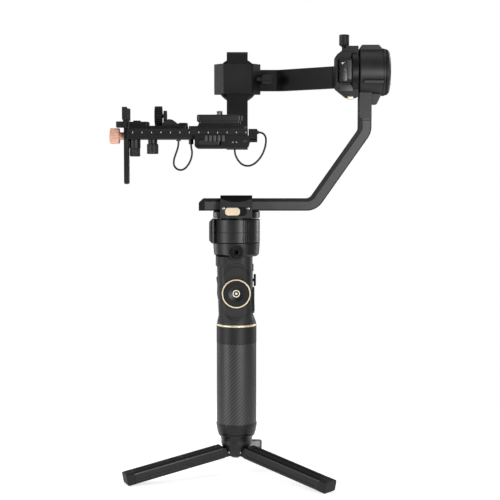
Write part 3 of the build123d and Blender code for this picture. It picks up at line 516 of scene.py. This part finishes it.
def threaded_steel():
    """Camera screw: bright steel with a fine thread round the upright axis, with painted shade in the
    thread's roots and painted highlight on its crests.
    """
    f = Finish("threaded_steel")
    f.round_edges(0.25 * MM)
    low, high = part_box("camera_screw")
    x, y, z = f.axes()
    turn = f.math("ARCTAN2", y, f.math("SUBTRACT", x, (low[0] + high[0]) / 2))
    ridge = f.math("SINE", f.math("ADD", f.math("MULTIPLY", z, 2 * pi / THREAD_PITCH), turn))
    # painted shade in the thread's roots, painted highlight on its crests
    shade = f.blend(f.spread(ridge, 0, 1, -1, 1), (0.2, 0.2, 0.2, 1), (0.62, 0.62, 0.63, 1))
    f.bump(ridge, 0.8, 0.3 * MM)
    return f.set(shade, f.spread(f.noise(300.0), 0.25, 0.4), 1.0)


def windings():
    """Copper windings between the iron teeth of a stator."""
    f = Finish("stator_windings")
    strands = f.noise(2400.0, 3.0, f.stretch((1, 1, 0.1)))
    colour = f.blend(f.spread(strands, 0, 1, 0.4, 0.6), (0.12, 0.05, 0.02, 1), (0.6, 0.27, 0.12, 1))
    f.bump(strands, 0.4, 0.1 * MM)
    return f.set(colour, 0.4, 0.8)


def cell_wrap():
    """Blue wrap of the battery cells."""
    f = Finish("cell_wrap")
    soft = f.noise(50.0, 3.0)
    colour = f.blend(soft, (0.02, 0.09, 0.2, 1), (0.03, 0.14, 0.3, 1))
    f.bump(f.noise(800.0, 2.0), 0.1, 0.05 * MM)
    return f.set(colour, f.spread(soft, 0.25, 0.4))


def print_white():
    """White engraved and filled marks."""
    f = Finish("white_fill")
    f.bump(f.noise(2500.0, 2.0), 0.1, 0.03 * MM)
    return f.set(f.blend(f.noise(900.0), grey(0.6), grey(0.8)), 0.55)


def dark_glass():
    """Unlit display behind its window."""
    f = Finish("display_glass")
    haze = f.noise(60.0, 4.0)
    colour = f.blend(haze, (0.004, 0.005, 0.008, 1), (0.008, 0.01, 0.014, 1))
    f.bump(haze, 0.02, 0.02 * MM)
    return f.set(colour, f.spread(haze, 0.04, 0.1), 0.0, 0.6)


GOLD = (0.95, 0.80, 0.58, 1)
COPPER = (0.95, 0.56, 0.42, 1)
BRIGHT = (0.62, 0.62, 0.63, 1)
PAN_SEAM_RISE = 7.5 * MM
COVER_SEAM = 364.0 * MM


def paint_nodes():
    """Gives every carried-over CAD node its finish."""
    pan_low, pan_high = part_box("pan_housing")
    pan_seam = (pan_low[2] + pan_high[2]) / 2 + PAN_SEAM_RISE
    dark = anodised("black_anodised", 0.011, 0.34, 0.4, (), 0.4)
    arm = anodised("arm_anodised", 0.006, 0.36, 0.2, (), 0.25)
    mid = anodised("grey_anodised", 0.024, 0.4, 0.5)
    plastic = moulded("moulded_black", 0.011, 0.45)
    gloss = gloss_black("gloss_black")
    gold = polished("pale_gold", GOLD, 0.34, 0.55)
    finishes = {
        dark: ["tripod_hub", "handle_end_cap", "pan_rotor", "roll_rotor", "tilt_rotor", "rail_clamp",
               "quick_release", "lens_support_base", "roll_clamp", "tilt_clamp"],
        arm: ["yaw_arm", "roll_arm", "tilt_arm"],
        mid: ["roll_housing", "tilt_housing", "roll_end_cap", "tilt_end_cap", "support_rod", "clamp_lever",
              "camera_plate"],
        plastic: ["power_button", "joystick_yoke", "roll_knob", "tilt_knob", "pan_clamp_knob",
                  "thumbscrew_front", "thumbscrew_rear", "focus_servo", "focus_gear"],
        gold: ["gold_ring", "wheel_ring", "pan_latch", "roll_latch"],
        anodised("pan_anodised", 0.024, 0.38, 0.5, [(2, pan_seam)]): ["pan_housing"],
        anodised("cover_anodised", 0.046, 0.42, 0.4, [(2, COVER_SEAM)]): ["yaw_arm_cover"],
        brushed("rail_brushed", 0.03): ["camera_rail"],
        moulded("moulded_body", 0.017, 0.5, 1800.0, 0.2, 0.3, True): ["control_housing"],
        moulded("moulded_band", 0.011, 0.5, 1800.0, 0.2, 0.3): ["trigger", "handle_tube"],
        moulded("moulded_leg", 0.004, 0.34, 1100.0, 0.14, 0.3): ["leg_left", "leg_right", "leg_back"],
        moulded("moulded_wheel", 0.005, 0.4, 2200.0, 0.08): ["control_wheel"],
        polished("bright_steel", BRIGHT, 0.25): ["leg_hinge_pins"],
        threaded_steel(): ["camera_screw"],
        anodised("socket_metal", 0.012, 0.3, 0.7): ["accessory_socket"],
        gloss: ["rear_panel"],
        matt_rubber(): ["foot_left", "foot_right", "foot_back", "joystick_cap"],
        windings(): ["pan_stator", "roll_stator", "tilt_stator"],
        twill_rubber(): ["grip_sleeve"],
        knurled_metal("rose_copper", COPPER, 36.0, 0.42): ["rod_knob"],
        saddle_finish(): ["pan_clamp"],
        cell_wrap(): ["battery_cells"],
    }
    for material, names in finishes.items():
        for name in names:
            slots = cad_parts[name].data.materials
            slots.clear()
            slots.append(material)


# ---------------------------------------------------------------- small fittings
SHARP_ANGLE = radians(32)
RING_SEGMENTS = 64


def add_mesh(name, build, material, body, place=(0, 0, 0), aim=(0, 0, 1)):
    """Makes one piece from a bmesh builder, aims its +Z and rides it on a body."""
    bm = bmesh.new()
    build(bm)
    bmesh.ops.recalc_face_normals(bm, faces=bm.faces)
    turn = Vector((0, 0, 1)).rotation_difference(Vector(aim)).to_matrix().to_4x4()
    matrix = Matrix.Translation(Vector(place) * MM) @ turn @ Matrix.Scale(MM, 4)
    bmesh.ops.transform(bm, matrix=matrix, verts=bm.verts)
    mesh = bpy.data.meshes.new(name)
    bm.to_mesh(mesh)
    bm.free()
    mesh.materials.append(material)
    piece = bpy.data.objects.new(name, mesh)
    bpy.context.scene.collection.objects.link(piece)
    mesh.polygons.foreach_set("use_smooth", [True] * len(mesh.polygons))
    mesh.set_sharp_from_angle(angle=SHARP_ANGLE)
    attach(piece, body)
    return piece


def lathe(profile, segments=48, flats=None):
    """Builder of a turned solid from (radius, height) pairs; those in flats follow a hexagon."""
    flats = flats or set()

    def build(bm):
        rings = []
        for index, (radius, height) in enumerate(profile):
            ring = []
            for step in range(segments):
                turn = 2 * pi * step / segments
                reach = radius
                if index in flats:
                    reach = radius / cos((turn % (pi / 3)) - pi / 6)
                ring.append(bm.verts.new((reach * cos(turn), reach * sin(turn), height)))
            rings.append(ring)
        for low, high in zip(rings, rings[1:]):
            for step in range(segments):
                following = (step + 1) % segments
                bm.faces.new((low[step], low[following], high[following], high[step]))
        bm.faces.new(rings[0])
        bm.faces.new(rings[-1])
    return build


def screw_head(radius, height):
    """Builder of a button-head screw with a hexagon socket."""
    socket = radius * 0.48
    profile = [(radius, -0.3), (radius, height * 0.35), (radius * 0.86, height * 0.8),
               (radius * 0.6, height), (socket, height), (socket, height * 0.25)]
    return lathe(profile, 48, {4, 5})


def soft_slab(width, depth, height, bevel):
    """Builder of a block with rounded edges, standing on z = 0."""
    def build(bm):
        made = bmesh.ops.create_cube(bm, size=1.0)
        bmesh.ops.scale(bm, vec=(width, depth, height), verts=made["verts"])
        bmesh.ops.translate(bm, vec=(0, 0, height / 2), verts=made["verts"])
        edges = list({edge for vert in made["verts"] for edge in vert.link_edges})
        bmesh.ops.bevel(bm, geom=edges, offset=bevel, segments=3, affect="EDGES", profile=0.6)
    return build


def row_of(builder, offsets):
    """Builder that repeats another at several places."""
    def build(bm):
        for offset in offsets:
            known = set(bm.verts)
            builder(bm)
            bmesh.ops.translate(bm, vec=offset, verts=[v for v in bm.verts if v not in known])
    return build


def ring_band(inner, outer, thickness):
    """Builder of a flat ring with eased edges."""
    ease = min(0.15, (outer - inner) / 4)

    def build(bm):
        profile = [(inner, 0), (outer, 0), (outer, thickness - ease), (outer - ease, thickness),
                   (inner + ease, thickness), (inner, thickness - ease)]
        turns = [2 * pi * step / RING_SEGMENTS for step in range(RING_SEGMENTS)]
        rings = [[bm.verts.new((r * cos(turn), r * sin(turn), h)) for turn in turns] for r, h in profile]
        for low, high in zip(rings, rings[1:] + rings[:1]):
            for step in range(RING_SEGMENTS):
                following = (step + 1) % RING_SEGMENTS
                bm.faces.new((low[step], low[following], high[following], high[step]))
    return build


def middle(node):
    """Middle of a CAD node's box, in millimetres."""
    low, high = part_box(node)
    return (Vector(low) + Vector(high)) / 2 / MM


def low_corner(node):
    """Low corner of a CAD node's box, in millimetres."""
    return Vector(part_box(node)[0]) / MM


def high_corner(node):
    """High corner of a CAD node's box, in millimetres."""
    return Vector(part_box(node)[1]) / MM


# Places and lengths below are in millimetres, in the part's own frame.
FRONT = (0, -1, 0)
THUMB_SIDE = (1, 0, 0)
PAN_SCREWS_X = (-13.4, 13.0)
PAN_SCREWS_RISE = 3.4
LATCH_GRIP_X = (-3, -1, 1, 3)
ROLL_BAR_INSET = 6.5
ROLL_STEP_PLACE = (116.6, 397.6)
WHEEL_MARK_Y = (-22.15, -22.05)
DISPLAY_Z = 175.2
KEYS_Z = (160.4, 164.4)
LAMPS_Z = 167.0
LAMPS_Y = (-4.5, -1.5, 1.5, 4.5)
CAP_SCREW_CIRCLE = 18.0
CAP_SCREW_TURNS = (pi / 4, 3 * pi / 4, 5 * pi / 4, 7 * pi / 4)
SCALE_Z = 350.7
SCALE_START = 5.6
SCALE_CENTIMETRES = 13
JAW_FRONT = -28.5
JAW_RIBS_X = (-31.5, -27.0, -22.5, -18.0, -13.5)
JAW_PINS_X = (-3.2, 0.4)
CRADLE_X = -118.25
CRADLE_CENTRE_Z = 408.4
CRADLE_RADIUS = 36.2
CRADLE_LEAN = radians(23.0)


def add_pan_clamp_fittings(steel, gold):
    """Screws of the pan clamp and the ribs on its latch."""
    clamp = low_corner("pan_clamp")
    latch = middle("pan_latch")
    for index, x in enumerate(PAN_SCREWS_X):
        add_mesh(f"pan_clamp_screw_{index + 1}", screw_head(1.5, 0.9), steel, "pan_rotor",
                 (x, clamp.y, latch.z + PAN_SCREWS_RISE), FRONT)
    add_mesh("pan_latch_grip", row_of(soft_slab(0.7, 5.2, 0.35, 0.12), [(x, 0, 0) for x in LATCH_GRIP_X]),
             gold, "pan_latch", (latch.x, low_corner("pan_latch").y + 0.1, latch.z), FRONT)


def add_roll_arm_fittings(steel, gloss, light_grey):
    """End plates, screw and index marks of the roll arm, and the step under its clamp."""
    front = low_corner("roll_arm").y
    bar_x = high_corner("roll_arm").x - ROLL_BAR_INSET
    add_mesh("roll_arm_end_cap", soft_slab(7.2, 21.6, 0.6, 0.28), gloss, "roll_arm",
             (bar_x - 2.4, front, 415.5), FRONT)
    add_mesh("roll_arm_end_plate", soft_slab(5.0, 20.4, 0.9, 0.35), light_grey, "roll_arm",
             (bar_x + 3.8, front, 416.5), FRONT)
    add_mesh("roll_arm_end_screw", screw_head(1.2, 0.5), steel, "roll_arm",
             (bar_x - 3.4, front - 0.5, 423.4), FRONT)
    add_mesh("roll_arm_end_ticks", row_of(soft_slab(0.5, 0.9, 0.16, 0.06), [(0, 0, 0), (0, -8.6, 0)]), steel,
             "roll_arm", (bar_x - 0.8, front - 0.55, 424.6), FRONT)
    step_x, step_z = ROLL_STEP_PLACE
    add_mesh("roll_clamp_step", soft_slab(13.5, 6.4, 0.7, 0.3), light_grey, "roll_rotor",
             (step_x, low_corner("roll_clamp").y, step_z), FRONT)


def add_wheel_mark(cream):
    """Plain ring and dot in the middle of the control wheel."""
    wheel = middle("control_wheel")
    ring_y, dot_y = WHEEL_MARK_Y
    add_mesh("wheel_mark_ring", ring_band(2.9, 4.0, 0.5), cream, "control_wheel",
             (wheel.x, ring_y, wheel.z), FRONT)
    add_mesh("wheel_mark_dot", lathe([(1.3, 0), (1.3, 0.35), (1.1, 0.5)]), cream, "control_wheel",
             (wheel.x, dot_y, wheel.z), FRONT)


def add_panel_fittings(plastic, white):
    """Display window, keys and lamps on the rear panel."""
    face = high_corner("rear_panel").x
    add_mesh("display_window", soft_slab(12.0, 16.0, 0.24, 0.1), dark_glass(), "handle",
             (face - 0.42, 0, DISPLAY_Z), THUMB_SIDE)
    for index, z in enumerate(KEYS_Z):
        add_mesh(f"panel_key_{index + 1}", soft_slab(2.4, 9.0, 0.34, 0.15), plastic, "handle",
                 (face - 0.1, 0, z), THUMB_SIDE)
    lamp = lathe([(0.45, 0), (0.45, 0.1), (0.3, 0.16)], 24)
    add_mesh("panel_lamps", row_of(lamp, [(0, y, 0) for y in LAMPS_Y]), white, "handle",
             (face - 0.02, 0, LAMPS_Z), THUMB_SIDE)


def add_motor_cap_fittings(gloss, black_steel):
    """Disc and four flush screws on the cap of the roll motor and of the tilt motor."""
    disc = lathe([(11.5, -0.3), (11.5, -0.12), (11.2, -0.02), (9.2, -0.02), (9.0, -0.1)], 64)
    spots = [(CAP_SCREW_CIRCLE * cos(turn), CAP_SCREW_CIRCLE * sin(turn), 0) for turn in CAP_SCREW_TURNS]
    for node, body, aim in (("roll_end_cap", "yaw_arm", (1, 0, 0)), ("tilt_end_cap", "roll_arm", (0, 1, 0))):
        centre = middle(node)
        outer = high_corner(node)
        place = Vector((outer.x if aim[0] else centre.x, outer.y if aim[1] else centre.y, centre.z))
        add_mesh(f"{node}_disc", disc, gloss, body, place, aim)
        add_mesh(f"{node}_screws", row_of(screw_head(1.5, 0.02), spots), black_steel, body,
                 place - Vector(aim) * 0.05, aim)


def add_rail_scale(white):
    """Centimetre marks and fine ticks in the groove along the rail."""
    rail = low_corner("camera_rail")
    place = (0, rail.y + 1.0, SCALE_Z)
    start = rail.x + SCALE_START
    marks = [(start + 10.0 * i, 0, 0) for i in range(SCALE_CENTIMETRES)]
    add_mesh("rail_scale_marks", row_of(soft_slab(0.7, 1.7, 0.12, 0.04), marks), white, "rail",
             place, FRONT)
    ticks = [(start + 2.0 * i, -1.1, 0) for i in range(5 * SCALE_CENTIMETRES - 4) if i % 5]
    add_mesh("rail_scale_ticks", row_of(soft_slab(0.22, 0.8, 0.1, 0.03), ticks),
             polished("tick_grey", grey(0.06), 0.5, 0.2), "rail", place, FRONT)


def add_jaw_fittings(steel, black_steel):
    """Ribs, pins and screw on the front of the rail clamp."""
    add_mesh("jaw_ribs", row_of(soft_slab(2.9, 6.4, 0.7, 0.32), [(x, 0, 0) for x in JAW_RIBS_X]),
             polished("rib_grey", grey(0.09), 0.45, 0.6), "tilt_arm",
             (0, JAW_FRONT, 344.2), FRONT)
    for index, x in enumerate(JAW_PINS_X):
        add_mesh(f"jaw_pin_{index + 1}", lathe([(0.95, -0.4), (0.95, 0.5), (0.7, 0.75)], 32), steel,
                 "tilt_arm", (x, JAW_FRONT, 340.2), FRONT)
    add_mesh("jaw_screw", screw_head(2.0, 0.5), black_steel, "tilt_arm", (9.2, JAW_FRONT, 341.6),
             FRONT)


def add_cradle_pads(rubber):
    """Rubber pads in the arms of the lens cradle, facing the middle of the lens."""
    for name, side in (("cradle_pad_left", -1), ("cradle_pad_right", 1)):
        lean = CRADLE_LEAN * side
        place = (CRADLE_X, CRADLE_RADIUS * sin(lean), CRADLE_CENTRE_Z - CRADLE_RADIUS * cos(lean))
        add_mesh(name, soft_slab(5.2, 6.0, 0.6, 0.25), rubber, "support_rod", place,
                 (0, -sin(lean), cos(lean)))


def add_fittings():
    """Screws, marks, pads and windows that finish the CAD model."""
    steel = polished("screw_steel", (0.55, 0.55, 0.56, 1), 0.28)
    black_steel = polished("screw_black", (0.05, 0.05, 0.052, 1), 0.3, 0.8)
    white = print_white()
    cream = polished("emblem_cream", (0.95, 0.86, 0.70, 1), 0.4, 0.2)
    plastic = moulded("fitting_plastic", 0.012, 0.4)
    gloss = bpy.data.materials["gloss_black"]
    add_pan_clamp_fittings(steel, bpy.data.materials["pale_gold"])
    add_roll_arm_fittings(steel, gloss, bpy.data.materials["cover_anodised"])
    add_wheel_mark(cream)
    add_panel_fittings(plastic, white)
    add_motor_cap_fittings(gloss, black_steel)
    add_rail_scale(white)
    add_jaw_fittings(steel, black_steel)
    add_mesh("port_collar", ring_band(1.07, 2.0, 1.6), plastic, "tilt_arm", PORT_CORD[0],
             (1, 0, 0))
    add_cradle_pads(bpy.data.materials["matt_rubber"])


add_camera()
add_cable("servo_cable_line", "servo_cable", "rail", SERVO_CORD)
add_cable("port_cable_line", "port_cable", "tilt_arm", PORT_CORD)
add_studio()
paint_nodes()
add_fittings()
